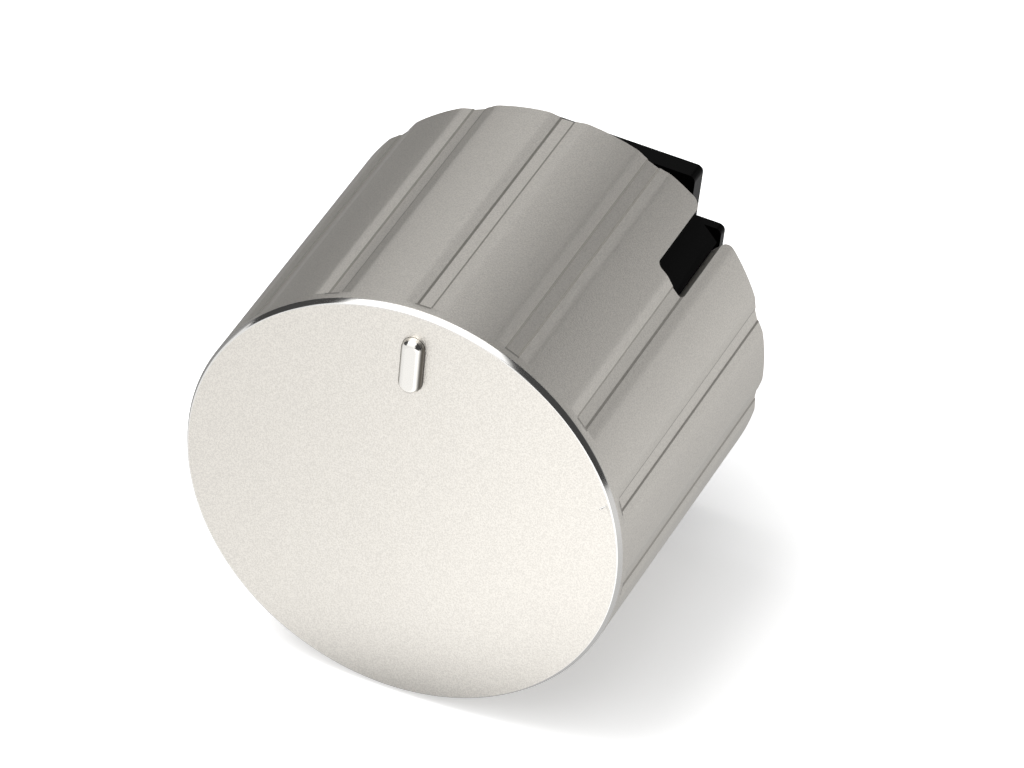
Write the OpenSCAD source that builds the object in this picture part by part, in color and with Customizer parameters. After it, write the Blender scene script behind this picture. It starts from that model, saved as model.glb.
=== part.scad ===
// Oven knob: a fluted metal cap on a moulded plastic insert that grips a D shaft.
// The knob's axis lies along Y. The face looks along -Y and the shaft socket opens
// at the origin along +Y. The indicator on the face points up, along +Z.
// All sizes are in millimetres.

/* [Cap] */
// Diameter of the barrel at the face
face_d = 40; // [30:0.5:60]
// Diameter of the barrel at its open rim
rim_d = 40.4; // [30:0.1:61]
// Length of the cap, face to rim
cap_len = 31.6; // [20:0.1:50]
// Thickness of the face
face_t = 2.5; // [1.5:0.1:4]
// Width of the bright bevel round the face, measured across the face
bevel_w = 0.26; // [0.1:0.02:1]
// Length of the bevel along the barrel
bevel_len = 0.52; // [0.1:0.02:1.5]
// Diameter of the bore that takes the insert
bore_d = 36; // [26:0.1:56]
// Depth of that bore from the rim
bore_depth = 12.5; // [6:0.1:20]
// Diameter of the hollow in front of the bore
hollow_d = 33.6; // [20:0.1:54]

/* [Flutes] */
// Number of flutes round the barrel
flute_count = 15; // [6:1:30]
// Width of a flute, with the soft shoulders beside it
flute_w = 3.4; // [1.6:0.05:5]
// Width between the inner sides of the shoulders
flute_inner_w = 1.5; // [0.6:0.05:4]
// Width of a flute's flat floor
flute_floor_w = 1.1; // [0.4:0.05:3]
// Depth of a flute
flute_depth = 0.34; // [0.1:0.02:1]
// Depth of the shoulders' inner sides
shoulder_depth = 0.24; // [0.02:0.02:0.8]
// Distance from the face to the flutes' square front ends
flute_start = 1.35; // [0.5:0.05:6]

/* [Notch] */
// Angle of the notch from the indicator, clockwise seen from the front
notch_angle = 44.65; // [0:0.05:360]
// Width of the notch
notch_w = 3.82; // [2:0.02:8]
// Depth of the notch from the rim
notch_depth = 9.7; // [3:0.1:20]
// Radius of the notch's inner corners
notch_r = 0.6; // [0.2:0.1:1.5]
// Radius of the rim's corners beside the notch
notch_lip_r = 1.1; // [0.2:0.1:2]

/* [Indicator] */
// Width of the indicator bar
bar_w = 2.05; // [1:0.05:5]
// Length of the indicator bar
bar_len = 5.45; // [2:0.05:12]
// Distance from the axis to the middle of the bar
bar_z = 14.8; // [5:0.1:18]
// Height of the bar above the face
bar_proud = 0.8; // [0.2:0.05:2]
// Width of the ledge that holds the bar behind the face
bar_ledge = 0.6; // [0.2:0.1:1.5]
// Thickness of the ledge
bar_ledge_t = 0.8; // [0.4:0.1:2]

/* [Insert] */
// Distance the insert stands out behind the rim
insert_proud = 5.4; // [0:0.1:10]
// Thickness of the rear plate
plate_t = 1.9; // [1:0.1:4]
// Width of each of the plate's two tabs
tab_w = 15; // [6:0.1:24]
// Distance from the axis to a tab's end
tab_reach = 15.8; // [10:0.1:18]
// Distance from the axis to a tab's outer side
tab_side = 10.35; // [6:0.05:14]
// Width and height of the level bar between the tabs
plate_bar = [26.2, 21.1]; // [8:0.1:36]
// Thickness of the level bar
plate_bar_t = 0.9; // [0.5:0.1:3]
// Angle of the plate from upright, clockwise seen from the front
plate_turn = 1.7; // [-10:0.1:10]
// Radius of the plate's corners
plate_r = 0.6; // [0.2:0.1:2]
// Width and height of the neck in front of the plate
neck = [20, 20.4]; // [12:0.1:26]
// Wall of the neck
neck_wall = 2.2; // [0.8:0.1:3]
// Thickness of the web that closes the rim
web_t = 1.5; // [0.8:0.1:3]
// Wall of the sleeve that fits the bore
sleeve_wall = 1.5; // [0.8:0.1:3]
// Gap all round between sleeve and bore
sleeve_gap = 0.05; // [0:0.01:0.3]
// Gap between the key and the sides of the notch
key_gap = 0.12; // [0.02:0.02:0.4]
// Radius from the axis to the top of the key
key_top_r = 19; // [15:0.1:21]
// Number of ribs between the boss and the sleeve
rib_count = 4; // [3:1:12]
// Thickness of a rib
rib_t = 1.3; // [0.8:0.1:3]
// Distance from the sleeve's front end to the ribs
rib_inset = 3; // [0:0.1:8]

/* [Shaft socket] */
// Diameter of the socket's round mouth, for a 6 mm shaft
socket_d = 6.2; // [4:0.02:12]
// Length of the round mouth
socket_round = 6.9; // [2:0.1:12]
// Width of the socket's inner end, which holds the flatted tip of the shaft
socket_end_w = 6.04; // [3.8:0.02:6.4]
// Size of that end from its flat floor to its top
socket_flat = 4.6; // [3:0.02:6]
// Depth of the whole socket
socket_depth = 15; // [8:0.5:25]
// Diameter of the boss round the socket
boss_d = 10.4; // [8:0.1:18]
// Length of the boss
boss_len = 17.9; // [8:0.1:30]
// Width of the slots that let the boss spring
slot_w = 0.9; // [0.4:0.1:2]

/* [Spring clip] */
// Thickness of the clip's strip
clip_t = 0.5; // [0.3:0.05:1]
// Width of the strip along the boss
clip_w = 3.2; // [2:0.1:8]
// Distance from the origin to the clip
clip_start = 1.2; // [0.5:0.1:6]
// Opening angle of the clip
clip_open = 56; // [20:1:120]

/* [Hidden] */
$fn = 96;
eps = 0.01;
z_face = -(cap_len + insert_proud);
z_rim = -insert_proud;
z_step = z_rim - bore_depth;
sleeve_d = bore_d - 2 * sleeve_gap;
flute_draft = atan((rim_d - face_d) / 2 / cap_len);
key_front = z_rim - notch_depth + key_gap;
cutter_out = 4;

// Turns a shape drawn with its axis along z so that z becomes +Y and -y becomes up.
module laid() { rotate([-90, 0, 0]) children(); }

// Turns a shape drawn at the top of the knob clockwise, seen from the front.
module clockwise(a) { rotate([0, 0, a]) children(); }

// A bar with round ends, upright, centred on the axis.
module bar_2d(w, l) {
    square([w, l - w], center = true);
    for (s = [-1, 1]) translate([0, s * (l - w) / 2]) circle(d = w, $fn = 48);
}

// A rectangle with round corners.
module round_rect(size, r) {
    square([size.x - 2 * r, size.y], center = true);
    square([size.x, size.y - 2 * r], center = true);
    for (x = [-1, 1], y = [-1, 1])
        translate([x * (size.x / 2 - r), y * (size.y / 2 - r)]) circle(r = r, $fn = 32);
}

// The outline of the plate's tabs: one reaches up and one down, each to its own side.
module tabs_2d() {
    for (turn = [0, 180]) rotate(turn)
        translate([tab_side - tab_w / 2, -tab_reach / 2]) round_rect([tab_w, tab_reach], plate_r);
}

// One flute's cutter: a flat floor between steep lips and wide soft shoulders. It
// follows the draft of the barrel.
module flute_cutter() {
    run = cap_len - flute_start + 1;
    edge_depth = face_d / 2 - sqrt(pow(face_d / 2, 2) - pow(flute_w / 2, 2));
    half = [
        [flute_floor_w / 2, flute_depth],
        [flute_inner_w / 2, shoulder_depth],
        [flute_w / 2, edge_depth],
        [flute_w / 2, -cutter_out],
    ];
    translate([0, -face_d / 2, z_face + flute_start])
        rotate([flute_draft, 0, 0])
            linear_extrude(run)
                polygon(concat(half, [for (i = [len(half) - 1 : -1 : 0]) [-half[i].x, half[i].y]]));
}

// The notch seen from outside the barrel: x across it, y from its floor to the rim.
module notch_2d() {
    overlap = notch_w / 4;
    lip_y = notch_depth - notch_lip_r;
    translate([0, notch_depth]) round_rect([notch_w, 2 * notch_depth], notch_r);
    for (s = [-1, 1]) difference() {
        translate([s * (notch_w + notch_lip_r - overlap) / 2, lip_y + notch_lip_r])
            square([notch_lip_r + overlap, 2 * notch_lip_r], center = true);
        translate([s * (notch_w / 2 + notch_lip_r), lip_y]) circle(r = notch_lip_r, $fn = 48);
    }
}

// The notch's cutter, through the wall at the top of the knob.
module notch_cutter() {
    translate([0, -bore_d / 2 + 1, z_rim - notch_depth])
        rotate([90, 0, 0])
            linear_extrude(cutter_out + 1) notch_2d();
}

// The machined cap: a drafted barrel closed by the face, fluted, bored from the rim.
module cap() {
    color([0.72, 0.71, 0.68]) laid() difference() {
        union() {
            translate([0, 0, z_face])
                cylinder(h = bevel_len, d1 = face_d - 2 * bevel_w, d2 = face_d, $fn = 180);
            translate([0, 0, z_face + bevel_len])
                cylinder(h = cap_len - bevel_len, d1 = face_d, d2 = rim_d, $fn = 180);
        }
        translate([0, 0, z_face + face_t]) cylinder(h = cap_len, d = hollow_d);
        translate([0, 0, z_step]) cylinder(h = cap_len, d = bore_d);
        for (i = [0 : flute_count - 1]) clockwise(i * 360 / flute_count) flute_cutter();
        clockwise(notch_angle) notch_cutter();
        translate([0, -bar_z, z_face - 1]) linear_extrude(face_t + 2) bar_2d(bar_w, bar_len);
    }
}

// The raised indicator bar, pushed through the face from behind and held by a ledge.
module indicator() {
    color([0.9, 0.9, 0.88]) laid() translate([0, -bar_z, z_face]) {
        translate([0, 0, -bar_proud])
            linear_extrude(face_t + bar_proud) bar_2d(bar_w, bar_len);
        translate([0, 0, face_t])
            linear_extrude(bar_ledge_t) bar_2d(bar_w + 2 * bar_ledge, bar_len + 2 * bar_ledge);
    }
}

// The insert's sleeve, which fits the bore, and the web that closes the rim.
module sleeve() {
    translate([0, 0, z_step]) difference() {
        cylinder(h = bore_depth, d = sleeve_d);
        translate([0, 0, -1]) cylinder(h = bore_depth + 1 - web_t, d = sleeve_d - 2 * sleeve_wall);
    }
}

// The key that fits the cap's notch and carries the turning load.
module key() {
    key_w = notch_w - 2 * key_gap;
    key_r = notch_r - key_gap;
    intersection() {
        translate([0, -sleeve_d / 2 + sleeve_wall, key_front]) rotate([90, 0, 0])
            linear_extrude(cutter_out) {
                translate([-key_w / 2, key_r]) square([key_w, z_rim - key_front - key_r]);
                translate([-key_w / 2 + key_r, 0]) square([key_w - 2 * key_r, key_r + eps]);
                for (s = [-1, 1])
                    translate([s * (key_w / 2 - key_r), key_r]) circle(r = key_r, $fn = 32);
            }
        translate([0, 0, z_step]) cylinder(h = cap_len, r = key_top_r);
    }
}

// The rear plate, its thin level bar set back behind the tabs, and the hollow neck.
module plate_and_neck() {
    difference() {
        union() {
            translate([0, 0, -plate_t]) linear_extrude(plate_t) tabs_2d();
            translate([0, 0, -plate_bar_t])
                linear_extrude(plate_bar_t) round_rect(plate_bar, plate_r);
            translate([0, 0, z_rim - web_t / 2])
                linear_extrude(insert_proud + web_t / 2 - plate_bar_t / 2)
                    round_rect(neck, plate_r);
        }
        translate([0, 0, z_rim])
            linear_extrude(insert_proud + 1)
                square([neck.x - 2 * neck_wall, neck.y - 2 * neck_wall], center = true);
    }
}

// The ribs that tie the boss to the sleeve, in front of the web.
module ribs() {
    rib_z = z_step + rib_inset;
    rib_run = z_rim - web_t - rib_z;
    intersection() {
        for (i = [0 : rib_count - 1]) clockwise(i * 360 / rib_count)
            translate([-rib_t / 2, -sleeve_d / 2, rib_z]) cube([rib_t, sleeve_d / 2, rib_run]);
        translate([0, 0, rib_z]) cylinder(h = rib_run, d = sleeve_d - 2 * sleeve_wall);
    }
}

// The socket for the D shaft: a round mouth, then a square end with its flat floor
// closer to the axis, which only lets the flatted tip in one way round.
module socket_cutter() {
    translate([0, 0, -socket_round]) cylinder(h = socket_round + 1, d = socket_d);
    translate([-socket_end_w / 2, -socket_end_w / 2, -socket_depth])
        cube([socket_end_w, socket_flat, socket_depth - socket_round + 1]);
}

// The moulded insert: sleeve, key, web, neck and rear plate. The web is open round
// the boss, which belongs to the same moulding.
module insert() {
    color([0.03, 0.03, 0.035]) laid() difference() {
        union() {
            sleeve();
            clockwise(notch_angle) key();
            clockwise(plate_turn) plate_and_neck();
        }
        translate([0, 0, z_rim - web_t - 1]) cylinder(h = web_t + 2, d = boss_d);
    }
}

// The insert's boss and its ribs. The boss holds the socket and is slotted to spring.
module shaft_boss() {
    color([0.03, 0.03, 0.035]) laid() difference() {
        union() {
            translate([0, 0, -boss_len]) cylinder(h = boss_len, d = boss_d);
            ribs();
        }
        socket_cutter();
        translate([-boss_d / 2 - 1, -slot_w / 2, z_rim])
            cube([boss_d + 2, slot_w, insert_proud + 1]);
    }
}

// The steel clip round the boss, open at the top.
module spring_clip() {
    wedge = 3 * boss_d;
    color([0.6, 0.6, 0.62]) laid() translate([0, 0, -clip_start - clip_w]) difference() {
        cylinder(h = clip_w, d = boss_d + 2 * clip_t);
        translate([0, 0, -1]) cylinder(h = clip_w + 2, d = boss_d);
        translate([0, 0, -1]) linear_extrude(clip_w + 2)
            polygon([[0, 0], [-wedge * sin(clip_open / 2), -wedge * cos(clip_open / 2)],
                     [wedge * sin(clip_open / 2), -wedge * cos(clip_open / 2)]]);
    }
}

cap();
indicator();
insert();
shaft_boss();
spring_clip();
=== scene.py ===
import math

import bmesh
import bpy
from mathutils import Matrix, Vector


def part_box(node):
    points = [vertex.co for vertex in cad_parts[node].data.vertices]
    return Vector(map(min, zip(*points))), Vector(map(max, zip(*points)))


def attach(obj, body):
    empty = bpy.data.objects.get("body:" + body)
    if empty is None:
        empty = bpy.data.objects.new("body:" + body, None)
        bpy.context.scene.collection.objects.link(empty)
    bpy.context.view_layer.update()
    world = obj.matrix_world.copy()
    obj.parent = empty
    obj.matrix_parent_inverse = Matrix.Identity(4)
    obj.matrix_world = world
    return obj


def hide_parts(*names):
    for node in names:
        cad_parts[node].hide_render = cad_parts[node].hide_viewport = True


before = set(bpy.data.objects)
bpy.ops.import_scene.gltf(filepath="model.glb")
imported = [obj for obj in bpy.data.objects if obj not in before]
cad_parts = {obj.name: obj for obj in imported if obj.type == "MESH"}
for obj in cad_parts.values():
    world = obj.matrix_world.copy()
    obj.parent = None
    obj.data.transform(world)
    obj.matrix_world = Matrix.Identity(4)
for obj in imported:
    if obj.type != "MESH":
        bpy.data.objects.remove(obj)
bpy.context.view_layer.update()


# ---- Cap ------------------------------------------------------------------------
# The cap is one piece of turned aluminium: face, barrel and bore. Fifteen flutes are
# milled along the barrel and a notch in its rim. The whole is bead-blasted, and then
# the bevel round the face is cut bright.

MM = 0.001
cap_low, cap_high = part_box("cap")
face_y = cap_low[1]
rim_y = cap_high[1]
cap_len = rim_y - face_y
face_r = 20.0 * MM
rim_r = 20.2 * MM
bevel_in = 0.26 * MM
bevel_back = 0.52 * MM
bevel_front_edge = 0.10 * MM
bevel_rear_edge = 0.06 * MM
rim_edge = 0.07 * MM
rim_profile = ((1.0, 0.05), (0.3, 0.3), (0.0, 1.0))
face_t = 2.5 * MM
bore_r = 18.0 * MM
bore_depth = 12.5 * MM
hollow_r = 16.8 * MM

flute_count = 15
flute_start = 1.35 * MM
# Distance from a flute's middle and depth below the barrel there, both in millimetres.
flute_half = ((0.0, 0.340), (0.3, 0.338), (0.5, 0.334), (0.56, 0.322), (0.60, 0.290),
              (0.64, 0.250), (0.70, 0.224), (0.80, 0.202), (0.92, 0.180), (1.05, 0.154),
              (1.20, 0.120), (1.35, 0.084), (1.48, 0.055), (1.60, 0.032), (1.70, 0.017),
              (1.82, 0.007), (1.95, 0.002), (2.2, 0.0), (2.8, 0.0), (3.5, 0.0))
# Step from a flute's front end, in millimetres, and share of its full depth there.
flute_ends = ((-0.03, 0.0), (0.0, 0.06), (0.03, 0.5), (0.06, 0.94), (0.09, 1.0))

notch_turn = math.radians(44.65)
notch_w = 3.82 * MM
notch_depth = 9.7 * MM
notch_corner = 0.6 * MM
notch_lip = 1.1 * MM

nick_at = Vector((17.85 * MM, face_y, 6.65 * MM))
nick_len = 0.9 * MM
nick_w = 0.2 * MM
nick_deep = 0.07 * MM
nick_turn = math.radians(-45)

nothing = 1e-7
flat_on_y = Matrix.Rotation(math.pi / 2, 4, "X")


def piece_from(bm, name):
    mesh = bpy.data.meshes.new(name)
    bm.to_mesh(mesh)
    bm.free()
    piece = bpy.data.objects.new(name, mesh)
    bpy.context.collection.objects.link(piece)
    return piece


def closed(bm):
    bmesh.ops.remove_doubles(bm, verts=bm.verts, dist=nothing)
    bmesh.ops.recalc_face_normals(bm, faces=bm.faces)


def carve(piece, cutter, way="DIFFERENCE"):
    cut = piece.modifiers.new("cut", "BOOLEAN")
    cut.operation = way
    cut.solver = "EXACT"
    cut.object = cutter
    ready = piece.evaluated_get(bpy.context.evaluated_depsgraph_get())
    carved = bpy.data.meshes.new_from_object(ready)
    piece.modifiers.clear()
    piece.data = carved
    bpy.data.objects.remove(cutter)


def smooth_shaded(piece, sharp_above):
    piece.data.shade_smooth()
    piece.data.set_sharp_from_angle(angle=math.radians(sharp_above))
    evened = piece.modifiers.new("even_normals", "WEIGHTED_NORMAL")
    evened.keep_sharp = True
    evened.weight = 90


def found(result, kind):
    return [part for part in result["geom"] if isinstance(part, kind)]


def turned_to(turn):
    return Matrix.Rotation(turn, 4, "Y")


# Each flute's share of the circle has the same forty corners, close together where the
# flute curves. A ring sinks them below the barrel by their turn from the flute's middle.
bm = bmesh.new()
pitch = 2 * math.pi / flute_count
half_share = [(x * MM / face_r, depth * MM) for x, depth in flute_half] + [(pitch / 2, 0.0)]
corner_turns = [turn for turn, depth in half_share]
corner_turns += [pitch - turn for turn in reversed(corner_turns[1:-1])]
disc = bmesh.ops.create_circle(bm, cap_ends=True, radius=face_r,
                               segments=flute_count * len(corner_turns))
for number, vert in enumerate(disc["verts"]):
    flute, corner = divmod(number, len(corner_turns))
    spoke = turned_to(flute * pitch + corner_turns[corner]) @ Vector((0, 0, 1))
    vert.co = Vector((0, face_y, 0)) + spoke * (face_r - bevel_in)


def next_ring(bm, ring, y, radius, sunk=0.0):
    grown = bmesh.ops.extrude_edge_only(bm, edges=ring)
    verts = found(grown, bmesh.types.BMVert)
    for vert in verts:
        turn = abs(math.remainder(math.atan2(vert.co.x, vert.co.z), pitch))
        depth = min(half_share, key=lambda corner: abs(corner[0] - turn))[1]
        spoke = Vector((vert.co.x, 0, vert.co.z)).normalized()
        vert.co = spoke * (radius - sunk * depth) + Vector((0, y, 0))
    return [e for e in found(grown, bmesh.types.BMEdge) if all(v in verts for v in e.verts)]


# Outside: the bevel, the plain band behind it, the flutes' front ends and the barrel.
ring = next_ring(bm, list(bm.edges), face_y + bevel_back, face_r)
for step, depth in flute_ends:
    y = face_y + flute_start + step * MM
    ring = next_ring(bm, ring, y, face_r + (rim_r - face_r) * (y - face_y) / cap_len, depth)
for forward, inward in rim_profile:
    ring = next_ring(bm, ring, rim_y - rim_edge * forward, rim_r - rim_edge * inward, 1.0)

# Inside: the bore for the insert, its step and the hollow behind the face.
ring = next_ring(bm, ring, rim_y, bore_r)
ring = next_ring(bm, ring, rim_y - bore_depth, bore_r)
ring = next_ring(bm, ring, rim_y - bore_depth, hollow_r)
ring = next_ring(bm, ring, face_y + face_t, hollow_r)
bmesh.ops.contextual_create(bm, geom=ring)
for y, edge in ((face_y, bevel_front_edge), (face_y + bevel_back, bevel_rear_edge)):
    turned = [e for e in bm.edges if all(abs(v.co.y - y) < nothing for v in e.verts)]
    bmesh.ops.bevel(bm, geom=turned, offset=edge, offset_type="OFFSET", segments=5,
                    profile=0.5, affect="EDGES", clamp_overlap=True, material=-1)
closed(bm)
cap = piece_from(bm, "cap_shell")

# Notch: an upright slot with round inner corners and a flared mouth, cut from outside.
bm = bmesh.new()
side = notch_w / 2
mouth = side + notch_lip * 1.02
past_rim = 2 * MM
cutter_foot = bore_r - 1 * MM
cutter_height = 5 * MM
outline = [(side, 0), (side, notch_depth), (mouth, notch_depth),
           (mouth, notch_depth + past_rim)]
outline += [(-x, y) for x, y in reversed(outline)]
corners = [bm.verts.new((x, rim_y - notch_depth + y, cutter_foot)) for x, y in outline]
bm.faces.new(corners)
floor_corners = [corners[0], corners[-1]]
mouth_corners = [corners[1], corners[-2]]
bmesh.ops.bevel(bm, geom=mouth_corners, offset=notch_lip, offset_type="OFFSET", segments=10,
                profile=0.5, affect="VERTICES", material=-1)
bmesh.ops.bevel(bm, geom=floor_corners, offset=notch_corner, offset_type="OFFSET", segments=8,
                profile=0.5, affect="VERTICES", material=-1)
lifted = bmesh.ops.extrude_face_region(bm, geom=list(bm.faces), use_keep_orig=True)
bmesh.ops.translate(bm, verts=found(lifted, bmesh.types.BMVert), vec=(0, 0, cutter_height))
bmesh.ops.rotate(bm, verts=bm.verts, matrix=turned_to(notch_turn))
closed(bm)
carve(cap, piece_from(bm, "notch_cutter"))

# Nick: a short bright scratch near the right edge of the face.
bm = bmesh.new()
bmesh.ops.create_icosphere(bm, subdivisions=2, radius=1)
bmesh.ops.scale(bm, verts=bm.verts, vec=(nick_len / 2, nick_deep, nick_w / 2))
bmesh.ops.rotate(bm, verts=bm.verts, matrix=turned_to(nick_turn))
bmesh.ops.translate(bm, verts=bm.verts, vec=nick_at)
closed(bm)
carve(cap, piece_from(bm, "nick_cutter"))


class Value:
    """A shader socket that can stand in a Python sum."""

    def __init__(self, paint, socket):
        self.paint = paint
        self.socket = socket

    def combine(self, kind, first, second):
        return self.paint.node("ShaderNodeMath", {"operation": kind}, {0: first, 1: second})

    def __add__(self, other):
        return self.combine("ADD", self, other)

    def __radd__(self, other):
        return self.combine("ADD", other, self)

    def __sub__(self, other):
        return self.combine("SUBTRACT", self, other)

    def __rsub__(self, other):
        return self.combine("SUBTRACT", other, self)

    def __mul__(self, other):
        return self.combine("MULTIPLY", self, other)

    def __rmul__(self, other):
        return self.combine("MULTIPLY", other, self)


class Paint:
    """A material or the world, with its nodes made one call at a time."""

    def __init__(self, owner, output):
        owner.use_nodes = True
        self.owner = owner
        self.tree = owner.node_tree
        self.tree.nodes.clear()
        self.output = self.tree.nodes.new(output)

    def node(self, kind, settings=None, sockets=None, out=0):
        made = self.tree.nodes.new(kind)
        for name, value in (settings or {}).items():
            if name == "stops":
                ramp = made.color_ramp
                while len(ramp.elements) < len(value):
                    ramp.elements.new(0.5)
                for element, (position, colour) in zip(ramp.elements, value):
                    element.position = position
                    element.color = colour
            else:
                setattr(made, name, value)
        for name, value in (sockets or {}).items():
            if isinstance(value, Value):
                self.tree.links.new(value.socket, made.inputs[name])
            else:
                made.inputs[name].default_value = value
        return Value(self, made.outputs[out])

    def place(self):
        return self.node("ShaderNodeTexCoord", out="Object")

    def along(self, place, axis):
        return self.node("ShaderNodeSeparateXYZ", {}, {0: place}, out=axis)

    def noise(self, place, size, detail=2.0, roughness=0.5):
        return self.node("ShaderNodeTexNoise", {"noise_dimensions": "3D"},
                         {"Vector": place, "Scale": 1 / size, "Detail": detail,
                          "Roughness": roughness})

    def mix(self, factor, first, second):
        return self.node("ShaderNodeMix", {"data_type": "RGBA"},
                         {0: factor, 6: first, 7: second}, out=2)

    def smooth(self, value, low, high):
        return self.node("ShaderNodeMapRange", {"interpolation_type": "SMOOTHSTEP"},
                         {"Value": value, "From Min": low, "From Max": high})

    def finish(self, shader):
        self.tree.links.new(shader.socket, self.output.inputs["Surface"])
        return self.owner


def new_material(name):
    return Paint(bpy.data.materials.new(name), "ShaderNodeOutputMaterial")


satin_dark = (0.76, 0.73, 0.68, 1)
satin_light = (0.91, 0.875, 0.815, 1)
# Painted shade: colour, place and strength of the dark lines painted along the flutes' lips.
lip_shade_colour = (0.30, 0.28, 0.25, 1)
lip_shade_from, lip_shade_to = 0.55 * MM, 0.70 * MM
lip_shade_fade = 0.04 * MM
lip_shade_end = 0.18 * MM
lip_shade_strength = 0.62
lip_shade_r_from, lip_shade_r_to = rim_r - 2.0 * MM, rim_r - 1.5 * MM
satin_roughness = 0.39
blast_grain = 0.12 * MM
blast_depth = 0.030 * MM


def satin_metal():
    paint = new_material("satin_metal")
    place = paint.place()
    x, y, z = (paint.along(place, axis) for axis in "XYZ")
    fine = paint.noise(place, blast_grain, roughness=0.6)
    wide = paint.noise(place, 9 * MM)
    colour = paint.mix(paint.smooth(fine, 0.32, 0.68), satin_dark, satin_light)

    # Painted shade: a fine dark line along each flute's lips and round its front end, where the
    # edges turn into shade.
    around = rim_r * paint.node("ShaderNodeMath", {"operation": "ARCTAN2"}, {0: x, 1: z})
    offset = paint.node("ShaderNodeMath", {"operation": "PINGPONG"},
                        {0: around, 1: rim_r * pitch / 2})
    flute_end = face_y + flute_start
    behind_end = paint.smooth(y, flute_end - lip_shade_end - lip_shade_fade, flute_end - lip_shade_end)
    past_end = paint.smooth(y, flute_end, flute_end + lip_shade_fade)
    within = 1 - paint.smooth(offset, lip_shade_to, lip_shade_to + lip_shade_fade)
    inner = 1 - paint.smooth(offset, lip_shade_from - lip_shade_fade, lip_shade_from)
    outside = paint.smooth(x * x + z * z, lip_shade_r_from ** 2, lip_shade_r_to ** 2)
    lip_shade = outside * behind_end * within * (1 - inner * past_end)
    colour = paint.mix(lip_shade_strength * lip_shade, colour, lip_shade_colour)
    bump = paint.node("ShaderNodeBump", {},
                      {"Strength": 1.0, "Distance": blast_depth, "Height": fine})
    shader = paint.node("ShaderNodeBsdfPrincipled", {}, {
        "Base Color": colour, "Metallic": 1.0,
        "Roughness": satin_roughness + 0.05 * (wide - 0.5) + 0.08 * (fine - 0.5),
        "Normal": bump})
    return paint.finish(shader)


def bright_cut():
    paint = new_material("bright_cut")
    marks = paint.noise(paint.place(), 0.5 * MM, detail=3.0)
    shader = paint.node("ShaderNodeBsdfPrincipled", {}, {
        "Base Color": (0.86, 0.85, 0.83, 1), "Metallic": 1.0,
        "Roughness": 0.10 + 0.06 * marks})
    return paint.finish(shader)


cap.data.materials.clear()
cap.data.materials.append(satin_metal())
cap.data.materials.append(bright_cut())
for face in cap.data.polygons:
    on_bevel = face_y + nothing < face.center.y < face_y + bevel_back
    face.material_index = 1 if on_bevel else 0
smooth_shaded(cap, 35)
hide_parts("cap")
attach(cap, "root")


# ---- Pointer bar ----------------------------------------------------------------
# The bar that points to the setting is a pill of metal with well rounded edges, polished on
# top. Its flanks and lower end, where it meets the face, are rougher and painted dark as
# painted shade. It is pushed through a slot in the face from behind and held by a ledge.

bar_low, bar_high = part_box("indicator")
bar_front = bar_low[1]
bar_w = 2.05 * MM
bar_len = 5.45 * MM
bar_z = 14.8 * MM
bar_round = 0.58 * MM
bar_ledge = 0.6 * MM
bar_ledge_t = 0.8 * MM
bar_gap = 0.03 * MM
polished_colour = (0.88, 0.86, 0.82, 1)
# Painted shade: the colour painted on the bar's flanks and lower end.
bar_shade_colour = (0.13, 0.12, 0.105, 1)


def pill(bm, width, length, y):
    half = (length - width) / 2
    ends = []
    for way in (1, -1):
        made = bmesh.ops.create_circle(bm, cap_ends=False, segments=64, radius=width / 2,
                                       matrix=Matrix.Translation((0, y, 0)) @ flat_on_y)
        spare = [v for v in made["verts"] if v.co.z * way < -nothing]
        bmesh.ops.delete(bm, geom=spare, context="VERTS")
        kept = [v for v in made["verts"] if v.is_valid]
        bmesh.ops.translate(bm, verts=kept, vec=(0, 0, way * half))
        ends += kept
    feet = [v for v in ends if len(v.link_edges) == 1]
    for side in (1, -1):
        pair = [v for v in feet if v.co.x * side > 0]
        bm.edges.new(pair)
    edges = list({e for v in ends for e in v.link_edges})
    return bmesh.ops.contextual_create(bm, geom=edges)["faces"]


def raised(bm, faces, height):
    lifted = bmesh.ops.extrude_face_region(bm, geom=faces, use_keep_orig=True)
    bmesh.ops.translate(bm, verts=found(lifted, bmesh.types.BMVert), vec=(0, height, 0))


def pill_block(width, length, from_y, to_y):
    bm = bmesh.new()
    raised(bm, pill(bm, width, length, from_y), to_y - from_y)
    bmesh.ops.translate(bm, verts=bm.verts, vec=(0, 0, bar_z))
    closed(bm)
    return bm


bm = pill_block(bar_w, bar_len, bar_front, face_y + face_t)
front_edges = [e for e in bm.edges if all(abs(v.co.y - bar_front) < nothing for v in e.verts)]
bmesh.ops.bevel(bm, geom=front_edges, offset=bar_round, offset_type="OFFSET", segments=8,
                profile=0.5, affect="EDGES", material=-1)
bar = piece_from(bm, "pointer_bar")
ledge = piece_from(pill_block(bar_w + 2 * bar_ledge, bar_len + 2 * bar_ledge,
                              face_y + face_t, face_y + face_t + bar_ledge_t), "ledge")
carve(bar, ledge, "UNION")
slot_cutter = piece_from(pill_block(bar_w + 2 * bar_gap, bar_len + 2 * bar_gap,
                                    bar_front - 1 * MM, face_y + face_t + 1 * MM),
                         "slot_cutter")
carve(cap, slot_cutter)
smooth_shaded(cap, 35)


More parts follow.
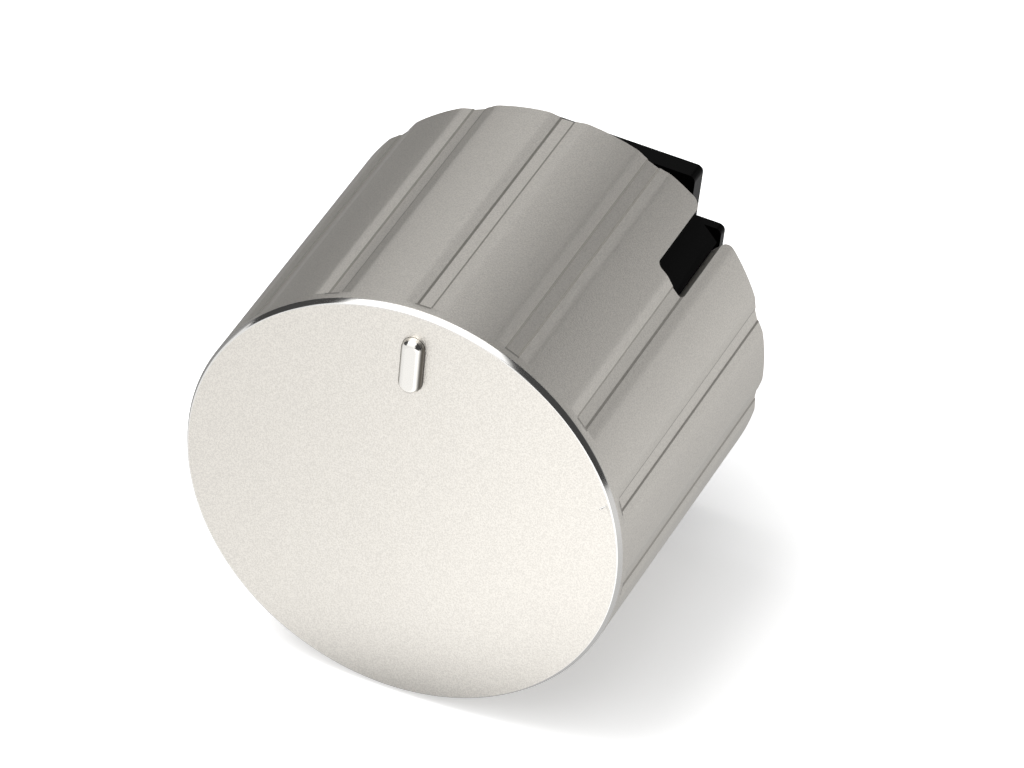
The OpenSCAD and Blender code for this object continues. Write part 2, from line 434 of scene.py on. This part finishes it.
def bar_metal():
    paint = new_material("bar_metal")
    place = paint.place()
    haze = paint.noise(place, 0.8 * MM, detail=3.0)
    sideways = paint.node("ShaderNodeMath", {"operation": "ABSOLUTE"},
                          {0: paint.along(place, "X")})
    # Painted shade: the flanks and the lower end are painted dark and made rougher.
    on_flank = paint.smooth(sideways, 0.64 * MM, 0.98 * MM)
    low_end = bar_z - bar_len / 2
    on_low_end = 1 - paint.smooth(paint.along(place, "Z"),
                                  low_end + 0.12 * MM, low_end + 0.34 * MM)
    flank_shade = 1 - (1 - on_flank) * (1 - on_low_end)
    shader = paint.node("ShaderNodeBsdfPrincipled", {}, {
        "Base Color": paint.mix(flank_shade, polished_colour, bar_shade_colour), "Metallic": 1.0,
        "Roughness": 0.08 + 0.08 * haze + 0.27 * flank_shade})
    return paint.finish(shader)


bar.data.materials.append(bar_metal())
smooth_shaded(bar, 35)
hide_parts("indicator")
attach(bar, "root")


# ---- Insert ---------------------------------------------------------------------
# The insert is one black moulding that fills the open end of the cap: sleeve, web,
# key, neck and rear plate. Its edges have a small moulded radius.

insert_radius = 0.14 * MM
plastic_colour = (0.0015, 0.0015, 0.0015, 1)


def softened_copy(node, name, radius):
    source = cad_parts[node]
    bm = bmesh.new()
    bm.from_mesh(source.data)
    bmesh.ops.remove_doubles(bm, verts=bm.verts, dist=1e-6)
    bmesh.ops.dissolve_limit(bm, angle_limit=math.radians(0.5), verts=bm.verts, edges=bm.edges)
    piece = piece_from(bm, name)
    piece.data.materials.clear()
    rounding = piece.modifiers.new("moulded_edges", "BEVEL")
    rounding.width = radius
    rounding.segments = 2
    rounding.limit_method = "ANGLE"
    rounding.angle_limit = math.radians(40)
    rounding.harden_normals = False
    return piece


def black_plastic():
    paint = new_material("black_plastic")
    place = paint.place()
    flow = paint.noise(place, 2.5 * MM, detail=3.0)
    fine = paint.noise(place, 0.3 * MM, detail=1.0)
    bump = paint.node("ShaderNodeBump", {},
                      {"Strength": 0.3, "Distance": 0.004 * MM, "Height": fine})
    shader = paint.node("ShaderNodeBsdfPrincipled", {}, {
        "Base Color": plastic_colour, "Specular IOR Level": 0.04,
        "Roughness": 0.10 + 0.06 * flow, "Normal": bump})
    return paint.finish(shader)


insert = softened_copy("insert", "black_insert", insert_radius)
insert.data.materials.append(black_plastic())
smooth_shaded(insert, 35)
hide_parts("insert")
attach(insert, "root")


# ---- Shaft boss -----------------------------------------------------------------
# The boss belongs to the insert's moulding. It holds the socket for the D shaft, is
# slotted at its mouth so that it can spring, and four ribs tie it to the sleeve.

boss = softened_copy("shaft_boss", "socket_boss", insert_radius)
boss.data.materials.append(insert.data.materials[0])
smooth_shaded(boss, 35)
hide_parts("shaft_boss")
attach(boss, "root")


# ---- Spring clip ----------------------------------------------------------------
# A strip of spring steel bent into an open ring. It is snapped over the slotted end
# of the boss and squeezes it on to the shaft.

clip_radius = 0.1 * MM


def strip_steel():
    paint = new_material("strip_steel")
    rolled = paint.node("ShaderNodeMapping", {},
                        {"Vector": paint.place(), "Scale": (0.15, 1, 0.15)})
    lines = paint.noise(rolled, 0.12 * MM, detail=3.0)
    bump = paint.node("ShaderNodeBump", {},
                      {"Strength": 0.5, "Distance": 0.003 * MM, "Height": lines})
    shader = paint.node("ShaderNodeBsdfPrincipled", {}, {
        "Base Color": (0.50, 0.50, 0.51, 1), "Metallic": 1.0,
        "Roughness": 0.26 + 0.16 * lines, "Normal": bump})
    return paint.finish(shader)


clip = softened_copy("spring_clip", "spring_ring", clip_radius)
clip.data.materials.append(strip_steel())
smooth_shaded(clip, 35)
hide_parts("spring_clip")
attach(clip, "root")


# ---- Table, light and camera ----------------------------------------------------
# The knob lies on a white table, under a broad overhead light with dark surroundings
# between the light and the table.

table_z = cap_low[2] - 0.02 * MM
table_half = 3.0
table_glow = 0.38
# Painted reflection: what metal sees of the table is painted glow, from left to right: its
# brightness in front of the knob and behind it, darker close to and behind the knob as painted
# shade. Two dark patches painted into this reflection, at either side, draw the pointer bar's
# edges.
front_tones = ((-60 * MM, 0.92), (-27 * MM, 0.98), (-9 * MM, 1.10), (6 * MM, 1.34),
               (90 * MM, 1.45))
back_tones = ((-70 * MM, 0.30), (-20 * MM, 0.30), (0, 0.38), (25 * MM, 0.56),
              (90 * MM, 0.74))
# Each dark patch's middle, and the distances from it where its edge starts and ends.
dark_patches = (((-47 * MM, -50 * MM, 0), 14 * MM, 19 * MM),
         ((50 * MM, -53 * MM, 0), 15 * MM, 20 * MM))
dark_patch_glow = 0.06


def light_path(paint, ray):
    return paint.node("ShaderNodeLightPath", out=ray)


def plain_glow(paint, strength):
    return paint.node("ShaderNodeEmission", {}, {"Color": (1, 1, 1, 1), "Strength": strength})


def shaded_glow(paint, across, tones):
    start, end = tones[0][0], tones[-1][0]
    stops = [((at - start) / (end - start), (tone, tone, tone, 1)) for at, tone in tones]
    shade = paint.node("ShaderNodeValToRGB", {"stops": stops},
                       {0: (across - start) * (1 / (end - start))})
    return paint.node("ShaderNodeEmission", {}, {"Color": shade})


def white_table():
    paint = new_material("white_table")
    place = paint.place()
    grain = paint.noise(place, 2.5 * MM)
    paper = paint.node("ShaderNodeBsdfPrincipled", {}, {
        "Base Color": (0.9, 0.9, 0.9, 1), "Roughness": 0.9 + 0.05 * grain})
    seen = paint.node("ShaderNodeAddShader", {}, {
        0: paper, 1: plain_glow(paint, table_glow * light_path(paint, "Is Camera Ray"))})
    # Painted reflection: glossy rays see painted glow with painted shade and two dark patches,
    # not the lit table.
    across, along = paint.along(place, "X"), paint.along(place, "Y")
    bright = 1
    for middle, inner, outer in dark_patches:
        away = paint.node("ShaderNodeVectorMath", {"operation": "DISTANCE"},
                          {0: place, 1: middle}, out=1)
        bright = bright * paint.smooth(away, inner, outer)
    front = paint.node("ShaderNodeMixShader", {}, {
        0: bright, 1: plain_glow(paint, dark_patch_glow), 2: shaded_glow(paint, across, front_tones)})
    reflected = paint.node("ShaderNodeMixShader", {}, {
        0: paint.smooth(along + 0.3 * across, -48 * MM, -34 * MM),
        1: front, 2: shaded_glow(paint, across, back_tones)})
    return paint.finish(paint.node("ShaderNodeMixShader", {}, {
        0: light_path(paint, "Is Glossy Ray"), 1: seen, 2: reflected}))


bm = bmesh.new()
bmesh.ops.create_grid(bm, x_segments=1, y_segments=1, size=table_half)
bmesh.ops.translate(bm, verts=bm.verts, vec=(0, 0, table_z))
table = piece_from(bm, "white_table")
table.data.materials.append(white_table())

# Each soft light of the room: its direction, inner and outer half angle in degrees, and
# strength.
surround = 0.06
soft_lights = (((-0.22, -0.30, 0.93), 34, 41, 1.50),
               ((-0.28, -0.85, 0.44), 27, 37, 1.10),
               ((-0.36, 0.75, 0.54), 16, 36, 0.46),
               ((0.68, 0.70, 0.10), 27, 44, 0.40))

world = bpy.data.worlds.new("studio")
bpy.context.scene.world = world
sky = Paint(world, "ShaderNodeOutputWorld")
direction = sky.node("ShaderNodeTexCoord", out="Generated")
strength = surround
for axis, inner, outer, power in soft_lights:
    towards = sky.node("ShaderNodeVectorMath", {"operation": "DOT_PRODUCT"},
                       {0: direction, 1: tuple(Vector(axis).normalized())}, out=1)
    strength = strength + power * sky.smooth(towards, math.cos(math.radians(outer)),
                                             math.cos(math.radians(inner)))
studio = sky.node("ShaderNodeBackground", {}, {"Color": (1, 1, 1, 1), "Strength": strength})
backdrop = sky.node("ShaderNodeBackground", {}, {"Color": (1, 1, 1, 1), "Strength": 1.0})
sky.finish(sky.node("ShaderNodeMixShader", {}, {
    0: light_path(sky, "Is Camera Ray"), 1: studio, 2: backdrop}))

lamp_data = bpy.data.lights.new("side_lamp", "SUN")
lamp_data.energy = 1.6
lamp_data.angle = math.radians(35)
lamp = bpy.data.objects.new("side_lamp", lamp_data)
lamp.rotation_euler = Vector((-0.37, -0.17, 0.91)).to_track_quat("Z", "Y").to_euler()
lamp.visible_glossy = False
bpy.context.collection.objects.link(lamp)

camera_data = bpy.data.cameras.new("camera")
camera_data.sensor_width = 36.0
camera_data.lens = 239.2
camera_data.clip_start = 0.01
camera_data.clip_end = 100.0
camera = bpy.data.objects.new("camera", camera_data)
right = Vector((0.91362, 0.39882, 0.07906)).normalized()
back = Vector((0.27247, -0.74490, 0.60900)).normalized()
up = back.cross(right).normalized()
right = up.cross(back)
turned = Matrix((right, up, back)).transposed().to_4x4()
camera.matrix_world = Matrix.Translation((0.160617, -0.451902, 0.355325)) @ turned
bpy.context.collection.objects.link(camera)
bpy.context.scene.camera = camera
bpy.context.scene.view_settings.view_transform = "Standard"
